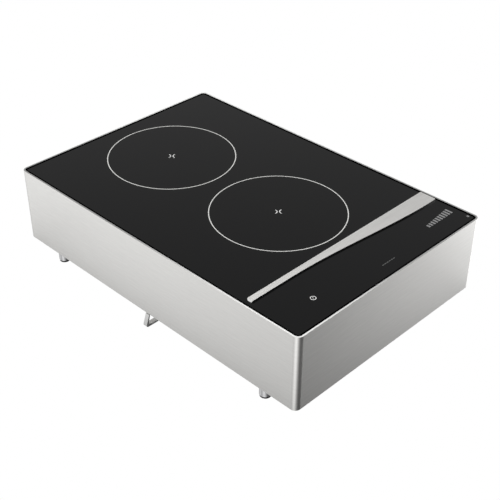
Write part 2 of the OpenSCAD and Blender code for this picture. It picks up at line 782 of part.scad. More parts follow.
casing();
base_pan();
casing_screws();
foot(-1, -1);  // foot_front_left
foot(1, -1);  // foot_front_right
foot(-1, 1);  // foot_rear_left
foot(1, 1);  // foot_rear_right
pad(-1, -1);  // pad_front_left
pad(1, -1);  // pad_front_right
pad(-1, 1);  // pad_rear_left
pad(1, 1);  // pad_rear_right
foot_screws();
glass_frame();
glass_seal();
glass_top();
trim_strip();
bracket(-1);  // bracket_left
bracket(1);  // bracket_right
bracket_sleeves();
bracket_screws();
coil_plate();
plate_posts();
plate_screws();
former(zone_rear_y);  // former_rear
former(zone_front_y);  // former_front
winding(zone_rear_y);  // winding_rear
winding(zone_front_y);  // winding_front
ferrites(zone_rear_y);  // ferrites_rear
ferrites(zone_front_y);  // ferrites_front
mica(zone_rear_y);  // mica_rear
mica(zone_front_y);  // mica_front
sensor(zone_rear_y);  // sensor_rear
sensor(zone_front_y);  // sensor_front
lift_springs(zone_rear_y);  // lift_springs_rear
lift_springs(zone_front_y);  // lift_springs_front
control_carrier();
control_board();
touch_springs();
displays();
control_ribbon();
board(power_x, power_y, power_w, power_d);  // power_board
board_posts();
board_screws();
heat_sink();
power_transistors();
bridge_rectifier();
power_capacitors();
power_choke();
relays();
board(filter_x, filter_y, filter_w, filter_d);  // filter_board
filter_choke();
filter_capacitors();
fan_frame();
fan_impeller();
fan_screws();
air_duct();
terminal_block();
cable_gland();
mains_leads();
coil_leads();
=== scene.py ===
import json
import math

import bmesh
import bpy
from mathutils import Matrix, Vector


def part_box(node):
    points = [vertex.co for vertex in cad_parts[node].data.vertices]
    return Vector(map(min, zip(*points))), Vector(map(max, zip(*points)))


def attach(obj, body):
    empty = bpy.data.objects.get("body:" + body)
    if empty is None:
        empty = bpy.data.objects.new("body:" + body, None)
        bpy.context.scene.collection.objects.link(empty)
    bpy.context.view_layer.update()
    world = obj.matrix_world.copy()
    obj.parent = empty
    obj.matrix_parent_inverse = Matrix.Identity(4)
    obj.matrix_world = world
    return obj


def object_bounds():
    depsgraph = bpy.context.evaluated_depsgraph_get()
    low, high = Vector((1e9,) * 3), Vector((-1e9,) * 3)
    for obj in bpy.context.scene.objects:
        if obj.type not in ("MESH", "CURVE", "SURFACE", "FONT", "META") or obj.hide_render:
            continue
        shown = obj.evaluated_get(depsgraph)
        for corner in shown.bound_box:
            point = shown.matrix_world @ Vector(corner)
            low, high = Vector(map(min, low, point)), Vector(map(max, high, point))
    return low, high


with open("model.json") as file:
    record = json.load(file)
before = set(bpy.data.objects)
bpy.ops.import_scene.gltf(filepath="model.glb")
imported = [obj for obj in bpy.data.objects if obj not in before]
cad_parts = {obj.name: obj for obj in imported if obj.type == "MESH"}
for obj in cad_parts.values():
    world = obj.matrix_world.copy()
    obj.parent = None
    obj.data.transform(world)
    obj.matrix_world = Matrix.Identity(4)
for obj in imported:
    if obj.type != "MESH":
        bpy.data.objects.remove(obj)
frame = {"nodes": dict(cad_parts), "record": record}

bl_info = {
    "name": "Two-Zone Induction Cooktop",
    "version": (1, 0, 0),
    "blender": (4, 5, 0),
    "location": "View3D > Sidebar > Cooktop",
    "description": "Dresses a free-standing two-zone induction cooktop and builds its studio",
    "category": "Object",
}

MM = 0.001
CAD_LOW, CAD_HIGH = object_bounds()
GLASS_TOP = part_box("glass_top")[1].z
CASING_LOW, CASING_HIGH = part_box("casing")
COIL_REAR_LOW, COIL_REAR_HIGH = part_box("winding_rear")
COIL_FRONT_LOW, COIL_FRONT_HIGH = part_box("winding_front")
SLOTS = {part["node"]: part["material_slot"] for part in frame["record"]["subparts"]}


# ---------------------------------------------------------------- settings

class CooktopFinishSettings(bpy.types.PropertyGroup):
    """Colours and surface values of the cooktop's materials."""

    steel_colour: bpy.props.FloatVectorProperty(
        name="Casing steel", description="Base colour of the brushed casing",
        subtype="COLOR", size=3, min=0.0, max=1.0, default=(0.68, 0.675, 0.66))
    steel_roughness: bpy.props.FloatProperty(
        name="Casing roughness", description="Roughness of the brushed casing",
        subtype="FACTOR", min=0.0, max=1.0, default=0.34)
    glass_colour: bpy.props.FloatVectorProperty(
        name="Glass", description="Base colour of the black ceramic glass",
        subtype="COLOR", size=3, min=0.0, max=1.0, default=(0.003, 0.003, 0.0032))
    trim_colour: bpy.props.FloatVectorProperty(
        name="Trim strip", description="Base colour of the satin trim strip",
        subtype="COLOR", size=3, min=0.0, max=1.0, default=(0.88, 0.87, 0.85))
    print_colour: bpy.props.FloatVectorProperty(
        name="Ring print", description="Colour of the fired-on zone rings",
        subtype="COLOR", size=3, min=0.0, max=1.0, default=(0.62, 0.62, 0.60))


class CooktopPrintSettings(bpy.types.PropertyGroup):
    """Sizes of the marks that are fired onto the glass."""

    ring_diameter: bpy.props.FloatProperty(
        name="Zone ring", description="Diameter of a zone ring, to the middle of its line",
        unit="LENGTH", min=0.14, max=0.22, default=0.180)
    ring_line: bpy.props.FloatProperty(
        name="Ring line", description="Width of a zone ring's line",
        unit="LENGTH", min=0.0005, max=0.004, default=0.0013)
    print_height: bpy.props.FloatProperty(
        name="Print height", description="Thickness of the fired-on print",
        unit="LENGTH", min=0.00002, max=0.0002, default=0.00006)
    symbol_diameter: bpy.props.FloatProperty(
        name="Standby symbol", description="Outside diameter of the standby symbol",
        unit="LENGTH", min=0.004, max=0.02, default=0.0074)


class CooktopStudioSettings(bpy.types.PropertyGroup):
    """Camera and light values of the studio."""

    azimuth: bpy.props.FloatProperty(
        name="Azimuth", description="Direction of the camera round the cooktop, 0 is from the front",
        subtype="ANGLE", default=math.radians(-45.047))
    elevation: bpy.props.FloatProperty(
        name="Elevation", description="Height of the camera above the horizon",
        subtype="ANGLE", default=math.radians(35.372))
    roll: bpy.props.FloatProperty(
        name="Roll", description="Roll of the camera about its own axis",
        subtype="ANGLE", default=math.radians(0.0))
    distance: bpy.props.FloatProperty(
        name="Distance", description="Distance from the camera to the point it looks at",
        unit="LENGTH", min=0.3, max=5.0, default=1.3032)
    lens: bpy.props.FloatProperty(
        name="Lens", description="Focal length in millimetres on a 36 mm sensor",
        min=20.0, max=200.0, default=71.294)
    floor_brightness: bpy.props.FloatProperty(
        name="Floor brightness", description="Share of light that the pale floor gives back",
        subtype="FACTOR", min=0.0, max=1.0, default=0.92)


# ---------------------------------------------------------------- mesh tools

def add_piece(name, mesh, material, body="root"):
    """Links a new piece, gives it its material and lets it ride on a body."""
    piece = bpy.data.objects.new(name, mesh)
    bpy.context.scene.collection.objects.link(piece)
    piece.data.materials.append(material)
    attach(piece, body)
    return piece


def mesh_from_bmesh(name, bm):
    """Turns a bmesh into a mesh with outward normals."""
    bmesh.ops.recalc_face_normals(bm, faces=bm.faces)
    mesh = bpy.data.meshes.new(name)
    bm.to_mesh(mesh)
    bm.free()
    return mesh


def add_slab(bm, outline, z, height):
    """Adds a closed flat slab with the given outline, from z upwards."""
    low = [bm.verts.new((x, y, z)) for x, y in outline]
    high = [bm.verts.new((x, y, z + height)) for x, y in outline]
    count = len(outline)
    bm.faces.new(list(reversed(low)))
    bm.faces.new(high)
    for i in range(count):
        j = (i + 1) % count
        bm.faces.new((low[i], low[j], high[j], high[i]))


def add_band(bm, inner, outer, z, height, closed=True):
    """Adds a closed band between two outlines that have the same number of points."""
    count = len(inner)
    rings = [[bm.verts.new((x, y, level)) for x, y in line]
             for level in (z, z + height) for line in (inner, outer)]
    low_in, low_out, high_in, high_out = rings
    last = count if closed else count - 1
    for i in range(last):
        j = (i + 1) % count
        bm.faces.new((low_in[i], low_out[i], low_out[j], low_in[j]))
        bm.faces.new((high_in[i], high_in[j], high_out[j], high_out[i]))
        bm.faces.new((low_in[i], low_in[j], high_in[j], high_in[i]))
        bm.faces.new((low_out[i], high_out[i], high_out[j], low_out[j]))
    if not closed:
        for k in (0, count - 1):
            bm.faces.new((low_in[k], high_in[k], high_out[k], low_out[k]))


def arc_points(cx, cy, radius, start, end, count):
    """Points along an arc, angles in degrees."""
    angles = [math.radians(start + (end - start) * i / (count - 1)) for i in range(count)]
    return [(cx + radius * math.cos(a), cy + radius * math.sin(a)) for a in angles]


def circle_points(cx, cy, radius, count):
    """Points round a full circle."""
    return [(cx + radius * math.cos(2 * math.pi * i / count),
             cy + radius * math.sin(2 * math.pi * i / count)) for i in range(count)]


def bar_points(cx, cy, length, width, angle=0.0):
    """The four corners of a flat bar, its length turned by an angle in degrees."""
    turn = math.radians(angle)
    along = Vector((math.cos(turn), math.sin(turn))) * length / 2
    across = Vector((-math.sin(turn), math.cos(turn))) * width / 2
    middle = Vector((cx, cy))
    corners = (middle - along - across, middle + along - across,
               middle + along + across, middle - along + across)
    return [tuple(c) for c in corners]


# ---------------------------------------------------------------- shader groups

def new_group(name, inputs, outputs):
    """Makes a shader node group with named inputs and outputs."""
    group = bpy.data.node_groups.new(name, "ShaderNodeTree")
    for label, kind, value in inputs:
        socket = group.interface.new_socket(name=label, in_out="INPUT", socket_type=kind)
        socket.default_value = value
    for label, kind in outputs:
        group.interface.new_socket(name=label, in_out="OUTPUT", socket_type=kind)
    source = group.nodes.new("NodeGroupInput")
    sink = group.nodes.new("NodeGroupOutput")
    return group, source, sink


def math_node(tree, operation, a, b=None, clamp=False):
    """Adds a Math node; a and b are sockets or numbers."""
    node = tree.nodes.new("ShaderNodeMath")
    node.operation = operation
    node.use_clamp = clamp
    for index, value in enumerate((a, b)):
        if value is None:
            continue
        if isinstance(value, bpy.types.NodeSocket):
            tree.links.new(value, node.inputs[index])
        else:
            node.inputs[index].default_value = value
    return node.outputs[0]


def noise_node(tree, vector, scale, detail, roughness):
    """Adds a Noise texture and returns its value output."""
    node = tree.nodes.new("ShaderNodeTexNoise")
    tree.links.new(vector, node.inputs["Vector"])
    if isinstance(scale, bpy.types.NodeSocket):
        tree.links.new(scale, node.inputs["Scale"])
    else:
        node.inputs["Scale"].default_value = scale
    node.inputs["Detail"].default_value = detail
    node.inputs["Roughness"].default_value = roughness
    return node.outputs["Fac"]


def stretch_node(tree, vector, scale):
    """Multiplies a vector by a scale, socket or triple."""
    node = tree.nodes.new("ShaderNodeVectorMath")
    node.operation = "MULTIPLY"
    tree.links.new(vector, node.inputs[0])
    if isinstance(scale, bpy.types.NodeSocket):
        tree.links.new(scale, node.inputs[1])
    else:
        node.inputs[1].default_value = scale
    return node.outputs["Vector"]


def brushed_grain_group():
    """Fine straight brushing: Stretch says how fast the grain changes along X, Y and Z."""
    group, source, sink = new_group(
        "brushed_grain",
        [("Stretch", "NodeSocketVector", (10.0, 10.0, 1400.0)),
         ("Colour", "NodeSocketColor", (0.7, 0.7, 0.7, 1.0)),
         ("Contrast", "NodeSocketFloat", 0.12),
         ("Roughness", "NodeSocketFloat", 0.35)],
        [("Colour", "NodeSocketColor"), ("Roughness", "NodeSocketFloat"), ("Height", "NodeSocketFloat")])
    place = group.nodes.new("ShaderNodeTexCoord")
    stretched = stretch_node(group, place.outputs["Object"], source.outputs["Stretch"])
    fine = noise_node(group, stretched, 1.0, 2.0, 0.6)
    broad_vector = stretch_node(group, stretched, (0.5, 0.5, 0.4))
    broad = noise_node(group, broad_vector, 1.0, 3.0, 0.65)
    mixed = math_node(group, "ADD", math_node(group, "MULTIPLY", fine, 0.4),
                      math_node(group, "MULTIPLY", broad, 0.6))
    swing = math_node(group, "MULTIPLY", math_node(group, "SUBTRACT", mixed, 0.5),
                      source.outputs["Contrast"])
    gain = math_node(group, "ADD", swing, 1.0)
    tint = group.nodes.new("ShaderNodeVectorMath")
    tint.operation = "SCALE"
    group.links.new(source.outputs["Colour"], tint.inputs[0])
    group.links.new(gain, tint.inputs["Scale"])
    rough = math_node(group, "ADD", source.outputs["Roughness"],
                      math_node(group, "MULTIPLY", swing, 0.55), clamp=True)
    group.links.new(tint.outputs["Vector"], sink.inputs["Colour"])
    group.links.new(rough, sink.inputs["Roughness"])
    group.links.new(mixed, sink.inputs["Height"])
    return group


def handled_wear_group():
    """Soft blotches and thin rubs that change roughness a little where a surface is handled."""
    group, source, sink = new_group(
        "handled_wear",
        [("Scale", "NodeSocketFloat", 18.0),
         ("Base", "NodeSocketFloat", 0.3),
         ("Amount", "NodeSocketFloat", 0.1)],
        [("Roughness", "NodeSocketFloat"), ("Mask", "NodeSocketFloat")])
    place = group.nodes.new("ShaderNodeTexCoord")
    smudge = noise_node(group, place.outputs["Object"], source.outputs["Scale"], 4.0, 0.6)
    ramp = group.nodes.new("ShaderNodeMapRange")
    ramp.inputs["From Min"].default_value = 0.35
    ramp.inputs["From Max"].default_value = 0.75
    group.links.new(smudge, ramp.inputs["Value"])
    mask = ramp.outputs["Result"]
    swing = math_node(group, "MULTIPLY", mask, source.outputs["Amount"])
    rough = math_node(group, "ADD", source.outputs["Base"], swing, clamp=True)
    group.links.new(rough, sink.inputs["Roughness"])
    group.links.new(mask, sink.inputs["Mask"])
    return group


def mottled_group():
    """Two tones mixed by fine noise, with a height for moulded grain."""
    group, source, sink = new_group(
        "mottled",
        [("Light", "NodeSocketColor", (0.5, 0.5, 0.5, 1.0)),
         ("Dark", "NodeSocketColor", (0.4, 0.4, 0.4, 1.0)),
         ("Scale", "NodeSocketFloat", 900.0),
         ("Roughness", "NodeSocketFloat", 0.5)],
        [("Colour", "NodeSocketColor"), ("Roughness", "NodeSocketFloat"), ("Height", "NodeSocketFloat")])
    place = group.nodes.new("ShaderNodeTexCoord")
    grain = noise_node(group, place.outputs["Object"], source.outputs["Scale"], 3.0, 0.6)
    mix = group.nodes.new("ShaderNodeMix")
    mix.data_type = "RGBA"
    group.links.new(grain, mix.inputs["Factor"])
    group.links.new(source.outputs["Dark"], mix.inputs[6])
    group.links.new(source.outputs["Light"], mix.inputs[7])
    swing = math_node(group, "MULTIPLY", math_node(group, "SUBTRACT", grain, 0.5), 0.2)
    group.links.new(mix.outputs[2], sink.inputs["Colour"])
    rough = math_node(group, "ADD", source.outputs["Roughness"], swing, clamp=True)
    group.links.new(rough, sink.inputs["Roughness"])
    group.links.new(grain, sink.inputs["Height"])
    return group


def upward_mask_group():
    """1 on faces that look up, such as the ground top of a rim, 0 on upright faces."""
    group, source, sink = new_group(
        "upward_mask",
        [("Start", "NodeSocketFloat", 0.75)],
        [("Mask", "NodeSocketFloat")])
    place = group.nodes.new("ShaderNodeTexCoord")
    split = group.nodes.new("ShaderNodeSeparateXYZ")
    group.links.new(place.outputs["Normal"], split.inputs["Vector"])
    above = math_node(group, "SUBTRACT", split.outputs["Z"], source.outputs["Start"])
    group.links.new(math_node(group, "MULTIPLY", above, 8.0, clamp=True), sink.inputs["Mask"])
    return group


GROUPS = {}


def shared_group(name):
    """Builds a shared group once and hands it out to every material."""
    makers = {"brushed_grain": brushed_grain_group, "handled_wear": handled_wear_group,
              "mottled": mottled_group, "upward_mask": upward_mask_group}
    if name not in GROUPS:
        GROUPS[name] = makers[name]()
    return GROUPS[name]


# ---------------------------------------------------------------- materials

def new_material(name):
    """A material with one Principled shader; returns the material, its tree and the shader."""
    material = bpy.data.materials.new(name)
    material.use_nodes = True
    tree = material.node_tree
    shader = next(n for n in tree.nodes if n.type == "BSDF_PRINCIPLED")
    return material, tree, shader


def place_group(tree, name, **values):
    """Places a shared group in a material with its own values."""
    node = tree.nodes.new("ShaderNodeGroup")
    node.node_tree = shared_group(name)
    for label, value in values.items():
        node.inputs[label].default_value = value
    return node


def add_bump(tree, shader, height, strength, distance):
    """Feeds a height through a Bump node into the shader's normal."""
    bump = tree.nodes.new("ShaderNodeBump")
    bump.inputs["Strength"].default_value = strength
    bump.inputs["Distance"].default_value = distance
    tree.links.new(height, bump.inputs["Height"])
    tree.links.new(bump.outputs["Normal"], shader.inputs["Normal"])


def blend_sockets(tree, mask, first, second, kind):
    """Mixes two sockets or values by a mask; kind is FLOAT or RGBA."""
    mix = tree.nodes.new("ShaderNodeMix")
    mix.data_type = kind
    slots = (6, 7, 2) if kind == "RGBA" else (2, 3, 0)
    tree.links.new(mask, mix.inputs["Factor"])
    for index, value in zip(slots, (first, second)):
        if isinstance(value, bpy.types.NodeSocket):
            tree.links.new(value, mix.inputs[index])
        else:
            mix.inputs[index].default_value = value
    return mix.outputs[slots[2]]


def brushed_metal(name, colour, roughness, stretch, contrast, bump=0.15, anisotropic=0.0,
                  ground=None, polish_and_highlight_sides=None):
    """Brushed metal with a grain set by the stretch.

    ground and polish_and_highlight_sides are the (colour, roughness) of the tops and of the upright edges;
    the upright edges' lighter colour is a painted highlight, their low roughness a real polish.
    """
    material, tree, shader = new_material(name)
    shader.inputs["Metallic"].default_value = 1.0
    shader.inputs["Anisotropic"].default_value = anisotropic
    grain = place_group(tree, "brushed_grain", Stretch=stretch, Colour=(*colour, 1.0),
                        Contrast=contrast, Roughness=roughness)
    tone, rough = grain.outputs["Colour"], grain.outputs["Roughness"]
    if ground:
        upward = place_group(tree, "upward_mask")
        tone = blend_sockets(tree, upward.outputs["Mask"], tone, (*ground[0], 1.0), "RGBA")
        rough = blend_sockets(tree, upward.outputs["Mask"], rough, ground[1], "FLOAT")
    # Upright edges: a lighter colour, which is a painted highlight, and a low roughness, which is a real
    # polish
    if polish_and_highlight_sides:
        upward = place_group(tree, "upward_mask")
        tone = blend_sockets(tree, upward.outputs["Mask"], (*polish_and_highlight_sides[0], 1.0), tone, "RGBA")
        rough = blend_sockets(tree, upward.outputs["Mask"], polish_and_highlight_sides[1], rough, "FLOAT")
    tree.links.new(tone, shader.inputs["Base Color"])
    tree.links.new(rough, shader.inputs["Roughness"])
    add_bump(tree, shader, grain.outputs["Height"], strength=bump, distance=0.03 * MM)
    if anisotropic > 0:
        tangent = tree.nodes.new("ShaderNodeTangent")
        tangent.direction_type = "RADIAL"
        tangent.axis = "Z"
        tree.links.new(tangent.outputs["Tangent"], shader.inputs["Tangent"])
        shader.inputs["Anisotropic Rotation"].default_value = 0.25
    return material


def polished_metal(name, colour, roughness):
    """Bright polished or plated metal with faint handling marks."""
    material, tree, shader = new_material(name)
    shader.inputs["Metallic"].default_value = 1.0
    shader.inputs["Base Color"].default_value = (*colour, 1.0)
    wear = place_group(tree, "handled_wear", Scale=160.0, Base=roughness, Amount=0.12)
    tree.links.new(wear.outputs["Roughness"], shader.inputs["Roughness"])
    fine = place_group(tree, "mottled", Scale=2600.0)
    add_bump(tree, shader, fine.outputs["Height"], strength=0.05, distance=0.02 * MM)
    return material


def moulded(name, light, dark, roughness, scale=1400.0, bump=0.2, specular=0.5, ior=1.5):
    """Moulded plastic, rubber or ceramic with a fine grain."""
    material, tree, shader = new_material(name)
    shader.inputs["Specular IOR Level"].default_value = specular
    shader.inputs["IOR"].default_value = ior
    grain = place_group(tree, "mottled", Light=(*light, 1.0), Dark=(*dark, 1.0),
                        Scale=scale, Roughness=roughness)
    tree.links.new(grain.outputs["Colour"], shader.inputs["Base Color"])
    tree.links.new(grain.outputs["Roughness"], shader.inputs["Roughness"])
    add_bump(tree, shader, grain.outputs["Height"], strength=bump, distance=0.04 * MM)
    return material


def black_glass_material(colour):
    """Polished black ceramic glass with hardly visible wipe marks."""
    material, tree, shader = new_material("black_glass")
    shader.inputs["IOR"].default_value = 1.5
    speckle = place_group(tree, "mottled", Light=(*[c * 1.15 for c in colour], 1.0),
                          Dark=(*[c * 0.85 for c in colour], 1.0), Scale=700.0, Roughness=0.05)
    tree.links.new(speckle.outputs["Colour"], shader.inputs["Base Color"])
    wear = place_group(tree, "handled_wear", Scale=9.0, Base=0.045, Amount=0.03)
    # The polished top shines, the ground edge is matt and darker
    flat = place_group(tree, "upward_mask", Start=0.875)
    rough = blend_sockets(tree, flat.outputs["Mask"], 0.8, wear.outputs["Roughness"], "FLOAT")
    tree.links.new(rough, shader.inputs["Roughness"])
    shine = math_node(tree, "MULTIPLY", flat.outputs["Mask"], 0.5)
    tree.links.new(shine, shader.inputs["Specular IOR Level"])
    tree.links.new(math_node(tree, "ADD", shine, 1.0), shader.inputs["IOR"])
    return material


def print_material(name, colour):
    """Fired-on ceramic print with a slightly uneven tone."""
    light = [min(1.0, c * 1.06) for c in colour]
    dark = [c * 0.92 for c in colour]
    return moulded(name, light, dark, roughness=0.42, scale=1100.0, bump=0.1)


def winding_material():
    """Enamelled stranded copper: diagonal twist lines over the copper colour."""
    material, tree, shader = new_material("copper_winding")
    shader.inputs["Metallic"].default_value = 0.75
    place = tree.nodes.new("ShaderNodeTexCoord")
    wave = tree.nodes.new("ShaderNodeTexWave")
    wave.wave_type = "BANDS"
    wave.bands_direction = "DIAGONAL"
    wave.inputs["Scale"].default_value = 420.0
    wave.inputs["Distortion"].default_value = 2.0
    tree.links.new(place.outputs["Object"], wave.inputs["Vector"])
    ramp = tree.nodes.new("ShaderNodeValToRGB")
    ramp.color_ramp.elements[0].color = (0.33, 0.13, 0.05, 1.0)
    ramp.color_ramp.elements[1].color = (0.74, 0.38, 0.19, 1.0)
    tree.links.new(wave.outputs["Fac"], ramp.inputs["Fac"])
    tree.links.new(ramp.outputs["Color"], shader.inputs["Base Color"])
    shader.inputs["Roughness"].default_value = 0.38
    add_bump(tree, shader, wave.outputs["Fac"], strength=0.3, distance=0.2 * MM)
    return material


def make_materials(finish):
    """One material for each slot of the record, and those of the prints."""
    steel = tuple(finish.steel_colour)
    trim = tuple(finish.trim_colour)
    ring = tuple(finish.print_colour)
    return {
        "brushed_casing": brushed_metal("brushed_casing", steel, finish.steel_roughness,
                                        stretch=(60.0, 60.0, 1300.0), contrast=0.30, bump=0.25,
                                        anisotropic=0.75, ground=((0.66, 0.66, 0.65), 0.46)),
        "sheet_steel": brushed_metal("sheet_steel", (0.58, 0.59, 0.60), 0.42,
                                     stretch=(300.0, 14.0, 300.0), contrast=0.22),
        "plate_aluminium": brushed_metal("plate_aluminium", (0.74, 0.75, 0.76), 0.36,
                                         stretch=(14.0, 700.0, 700.0), contrast=0.18),
        # The trim's upright edges and ends get a lighter colour than its top, a painted highlight, with a
        # polished roughness
        "trim_aluminium": brushed_metal("trim_aluminium", trim, 0.38,
                                        stretch=(40.0, 1500.0, 1500.0), contrast=0.22, bump=0.12,
                                        polish_and_highlight_sides=((1.0, 1.0, 0.99), 0.12)),
        "satin_steel": brushed_metal("satin_steel", (0.72, 0.72, 0.71), 0.32,
                                     stretch=(60.0, 900.0, 900.0), contrast=0.2, bump=0.15),
        "polished_steel": polished_metal("polished_steel", (0.80, 0.80, 0.81), 0.10),
        "screw_steel": polished_metal("screw_steel", (0.70, 0.70, 0.71), 0.22),
        "spring_steel": polished_metal("spring_steel", (0.66, 0.66, 0.67), 0.26),
        "brass_sleeve": polished_metal("brass_sleeve", (0.72, 0.56, 0.26), 0.24),
        "black_glass": black_glass_material(tuple(finish.glass_colour)),
        "seal_rubber": moulded("seal_rubber", (0.0012, 0.0012, 0.0012), (0.0006, 0.0006, 0.0006), 0.8,
                               specular=0.0, ior=1.0),
        "pad_rubber": moulded("pad_rubber", (0.035, 0.035, 0.035), (0.02, 0.02, 0.02), 0.8),
        "dark_plastic": moulded("dark_plastic", (0.075, 0.075, 0.08), (0.05, 0.05, 0.055), 0.55),
        "white_plastic": moulded("white_plastic", (0.78, 0.78, 0.75), (0.70, 0.70, 0.67), 0.5),
        "component_black": moulded("component_black", (0.035, 0.035, 0.04), (0.02, 0.02, 0.022), 0.35),
        "capacitor_yellow": moulded("capacitor_yellow", (0.78, 0.56, 0.10), (0.68, 0.47, 0.07), 0.4),
        "relay_blue": moulded("relay_blue", (0.09, 0.19, 0.44), (0.06, 0.14, 0.36), 0.35),
        "board_green": moulded("board_green", (0.05, 0.24, 0.10), (0.03, 0.17, 0.07), 0.38, scale=500.0),
        "display_window": moulded("display_window", (0.05, 0.008, 0.008), (0.03, 0.005, 0.005), 0.12,
                                  scale=900.0, bump=0.05),
        "ribbon_grey": moulded("ribbon_grey", (0.58, 0.59, 0.61), (0.48, 0.49, 0.51), 0.5),
        "lead_sheath": moulded("lead_sheath", (0.28, 0.16, 0.07), (0.20, 0.11, 0.05), 0.55),
        "lead_red": moulded("lead_red", (0.58, 0.09, 0.05), (0.45, 0.06, 0.04), 0.5),
        "copper_winding": winding_material(),
        "ferrite": moulded("ferrite", (0.09, 0.09, 0.095), (0.05, 0.05, 0.055), 0.7, scale=2200.0, bump=0.5),
        "mica": moulded("mica", (0.62, 0.54, 0.38), (0.46, 0.38, 0.25), 0.55, scale=160.0),
        "white_ceramic": moulded("white_ceramic", (0.82, 0.82, 0.80), (0.74, 0.74, 0.72), 0.45),
        "ring_print": print_material("ring_print", ring),
        "faint_print": print_material("faint_print", (0.075, 0.075, 0.075)),
        "grey_print": print_material("grey_print", (0.20, 0.20, 0.20)),
        "symbol_print": print_material("symbol_print", (0.82, 0.82, 0.81)),
    }


MATERIALS = {}


def material_of(name):
    """A finish by its slot name, built on first use."""
    if not MATERIALS:
        MATERIALS.update(make_materials(bpy.context.scene.cooktop_finish))
    return MATERIALS[name]


def dress_node(name):
    """Gives a CAD node the material of its slot."""
    node = frame["nodes"][name]
    node.data.materials.clear()
    node.data.materials.append(material_of(SLOTS[name]))
    return node


SOFT_SEGMENTS = 3
SHARP_ANGLE = math.radians(35.0)


def soften_edges(name, width):
    """Rounds a CAD node's sharp edges with a bevel modifier and keeps its flat faces flat."""
    node = frame["nodes"][name]
    bevel = node.modifiers.new("soft_edges", "BEVEL")
    bevel.width = width
    bevel.segments = SOFT_SEGMENTS
    bevel.limit_method = "ANGLE"
    bevel.angle_limit = SHARP_ANGLE
    normals = node.modifiers.new("flat_faces", "WEIGHTED_NORMAL")
    normals.keep_sharp = True


# ---------------------------------------------------------------- operators: CAD nodes

SHELL_FINISHES = ("brushed_casing", "satin_steel", "black_glass", "seal_rubber", "trim_aluminium",
                  "pad_rubber", "polished_steel")
TRIM_EDGE = 0.4 * MM
BRACKET_EDGE = 0.8 * MM


class COOKTOP_OT_dress_shell(bpy.types.Operator):
    """Finish the casing, base, feet, seal and glass"""
    bl_idname = "cooktop.dress_shell"
    bl_label = "Dress the Shell"

    def execute(self, context):
        for name in frame["nodes"]:
            if SLOTS[name] in SHELL_FINISHES:
                dress_node(name)
        soften_edges("trim_strip", TRIM_EDGE)
        for name in ("bracket_left", "bracket_right"):
            soften_edges(name, BRACKET_EDGE)
        return {"FINISHED"}


class COOKTOP_OT_dress_works(bpy.types.Operator):
    """Finish every inner part: coils, boards, fan, wiring and fasteners"""
    bl_idname = "cooktop.dress_works"
    bl_label = "Dress the Works"

    def execute(self, context):
        for name in frame["nodes"]:
            if not frame["nodes"][name].data.materials or \
                    frame["nodes"][name].data.materials[0].name != SLOTS[name]:
                dress_node(name)
        return {"FINISHED"}


# ---------------------------------------------------------------- operators: prints

RING_POINTS = 180

# The pair of arcs in a zone's middle: they bulge apart along a diagonal
ARC_RADIUS, ARC_REACH, ARC_STROKE = 4.7 * MM, 4.45 * MM, 1.0 * MM
ARC_HALF_ANGLE = 62.0
ARC_POINTS = 24

# Marks on the glass: X is from the middle, Y is from the front of the casing
SYMBOL_X, SYMBOL_Y = -105.2 * MM, 38.4 * MM
SYMBOL_STROKE = 0.8 * MM
SYMBOL_BAR_LENGTH, SYMBOL_BAR_WIDTH = 2.8 * MM, 0.6 * MM
SYMBOL_POINTS = 64
BAR_COUNT, BAR_PITCH, BAR_WIDTH = 10, 5.2 * MM, 3.0 * MM
BAR_X, BAR_Y = 109.0 * MM, 31.6 * MM
BAR_LOWEST, BAR_RISE = 5.6 * MM, 0.6 * MM
DASH_COUNT, DASH_PITCH = 6, 4.1 * MM
DASH_LENGTH, DASH_WIDTH = 3.0 * MM, 1.3 * MM
DASH_X, DASH_Y = 2.0 * MM, 22.2 * MM
CORNER_MARK_X, CORNER_MARK_Y = 163.2 * MM, 12.6 * MM
CORNER_MARK_SIDE = 3.2 * MM


class COOKTOP_OT_zone_prints(bpy.types.Operator):
    """Print a ring and a pair of arcs on the glass over each coil"""
    bl_idname = "cooktop.zone_prints"
    bl_label = "Zone Prints"

    def execute(self, context):
        sizes = context.scene.cooktop_print
        radius, line = sizes.ring_diameter / 2, sizes.ring_line
        z, height = GLASS_TOP, sizes.print_height
        for name, low, high in (("rear", COIL_REAR_LOW, COIL_REAR_HIGH),
                                ("front", COIL_FRONT_LOW, COIL_FRONT_HIGH)):
            centre = (low + high) / 2
            bm = bmesh.new()
            add_band(bm, circle_points(centre.x, centre.y, radius - line / 2, RING_POINTS),
                     circle_points(centre.x, centre.y, radius + line / 2, RING_POINTS), z, height)
            add_piece("zone_ring_" + name, mesh_from_bmesh("zone_ring_" + name, bm),
                      material_of("ring_print"))
            bm = bmesh.new()
            for side, middle in ((-1, -45.0), (1, 135.0)):
                cx, cy = centre.x + side * ARC_REACH, centre.y - side * ARC_REACH
                outlines = [arc_points(cx, cy, ARC_RADIUS + shift * ARC_STROKE, middle - ARC_HALF_ANGLE,
                                       middle + ARC_HALF_ANGLE, ARC_POINTS)
                            for shift in (-0.5, 0.5)]
                add_band(bm, outlines[0], outlines[1], z, height, closed=False)
            add_piece("zone_centre_" + name, mesh_from_bmesh("zone_centre_" + name, bm),
                      material_of("symbol_print"))
        return {"FINISHED"}


